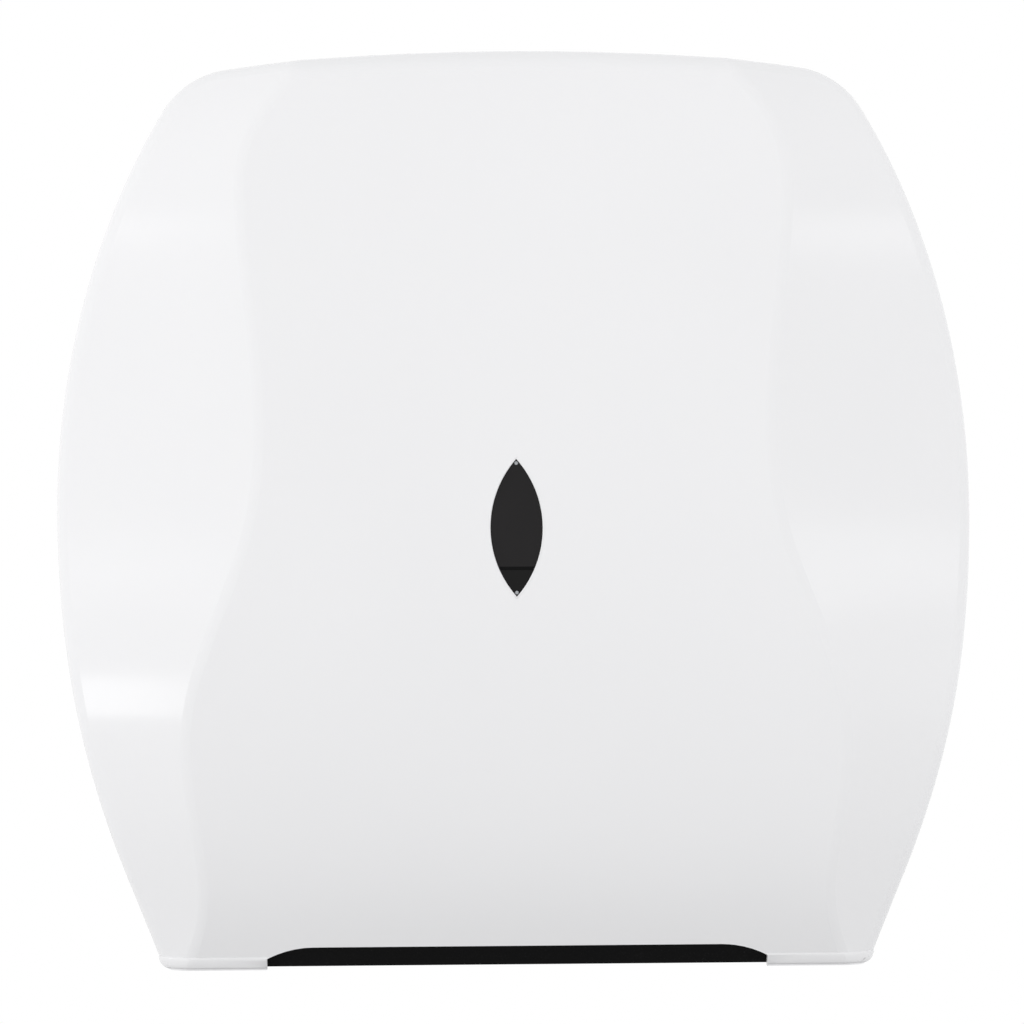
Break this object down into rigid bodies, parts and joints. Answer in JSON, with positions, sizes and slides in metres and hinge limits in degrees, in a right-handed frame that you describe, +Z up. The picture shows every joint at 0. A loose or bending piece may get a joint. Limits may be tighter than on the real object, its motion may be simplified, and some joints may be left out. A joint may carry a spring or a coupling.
{
  "type": "interfold towel dispenser",
  "caption": "Wall dispenser for interfolded paper towels, with a fold-down moulded cover, a leaf-shaped level window, a slot outlet and a keyed cam lock.",
  "frame": {"origin": "centre of the four wall-screw holes, on the wall plane", "axes": "+X to the right as seen by the user, +Y into the wall, +Z up; the front faces -Y"},
  "size_m": [0.2996, 0.144, 0.2965],
  "materials": {
    "white_shell": "gloss moulded white ABS",
    "back_plastic": "matt moulded white ABS",
    "black_plastic": "fine grained black ABS",
    "smoked_lens": "polished smoked styrene",
    "guide_plastic": "semi-matt grey ABS",
    "pin_steel": "drawn stainless steel",
    "zinc_steel": "bright zinc plated steel",
    "lock_chrome": "chromed zinc die casting",
    "bush_nylon": "natural nylon"
  },
  "bodies": {
    "base": {"back_plate": "back_plastic", "outlet_tray": "black_plastic", "outlet_throat": "black_plastic", "tray_screws": "zinc_steel", "side_guide_right": "guide_plastic", "side_guide_left": "guide_plastic", "guide_screws": "zinc_steel", "hinge_pin_right": "pin_steel", "hinge_pin_left": "pin_steel", "latch_keeper": "zinc_steel", "keeper_screws": "zinc_steel"},
    "cover": {"front_cover": "white_shell", "view_window": "smoked_lens", "window_clips": "zinc_steel", "hinge_bush_right": "bush_nylon", "hinge_bush_left": "bush_nylon", "lock_barrel": "lock_chrome", "lock_washer": "zinc_steel", "lock_nut": "zinc_steel"},
    "lock": {"lock_plug": "lock_chrome", "lock_cam": "zinc_steel", "cam_screw": "zinc_steel"}
  },
  "joints": [
    {"name": "cover_hinge", "type": "hinge", "parent": "base", "child": "cover", "pos_m": [0, -0.016, -0.1355], "axis": [1, 0, 0], "range_deg": [0, 90]},
    {"name": "lock_turn", "type": "hinge", "parent": "cover", "child": "lock", "pos_m": [0, -0.034, 0.123], "axis": [0, 0, -1], "range_deg": [0, 90]}
  ]
}
